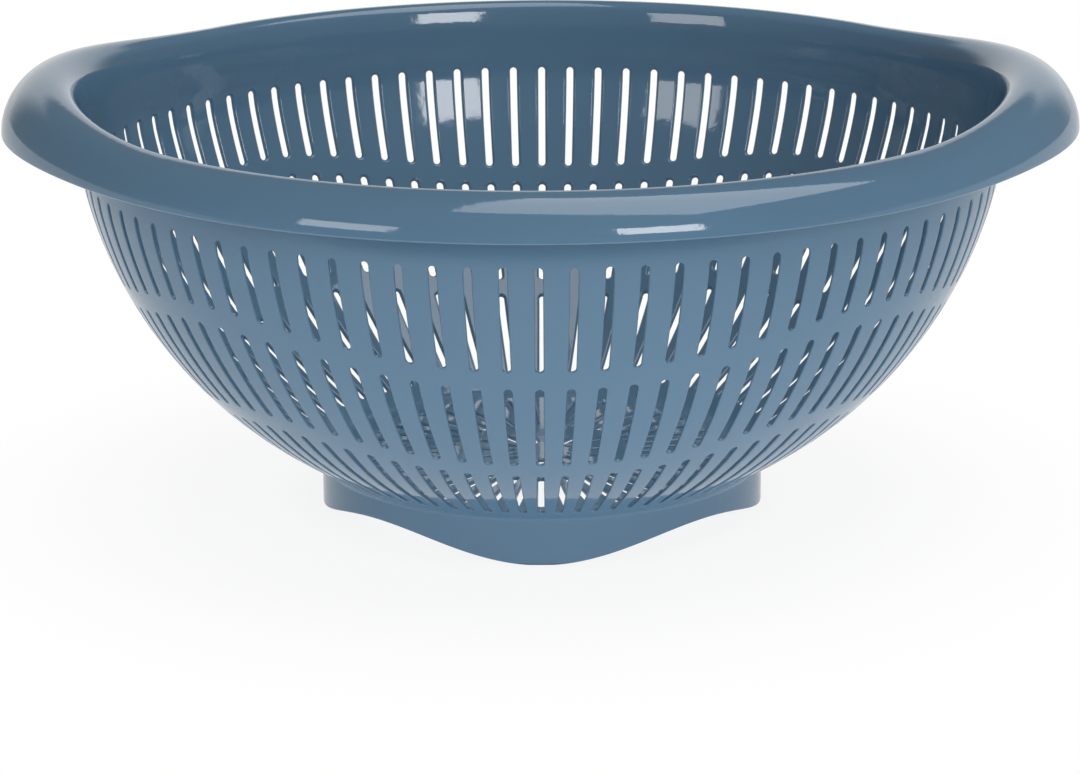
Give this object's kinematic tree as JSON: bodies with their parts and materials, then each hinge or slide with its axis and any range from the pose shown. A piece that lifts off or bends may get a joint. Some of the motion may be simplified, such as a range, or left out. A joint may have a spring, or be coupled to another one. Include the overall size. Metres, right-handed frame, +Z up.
{
  "type": "colander",
  "caption": "Deep round plastic colander with a slotted wall and floor, a turned-down rim that widens and rises into two ear handles, and a wavy foot ring.",
  "frame": {"origin": "on the surface that the feet stand on, under the middle of the bowl", "axes": "+Z up, +X from the middle of the bowl through the right handle, -Y towards the front"},
  "size_m": [0.3016, 0.2858, 0.1269],
  "materials": {
    "shell": "polished moulded polypropylene, blue-grey"
  },
  "bodies": {
    "root": {"front_rim": "shell", "back_rim": "shell", "right_handle": "shell", "left_handle": "shell", "neck_band": "shell", "front_wall": "shell", "right_wall": "shell", "back_wall": "shell", "left_wall": "shell", "drain_floor": "shell", "foot_ring": "shell"}
  },
  "joints": []
}
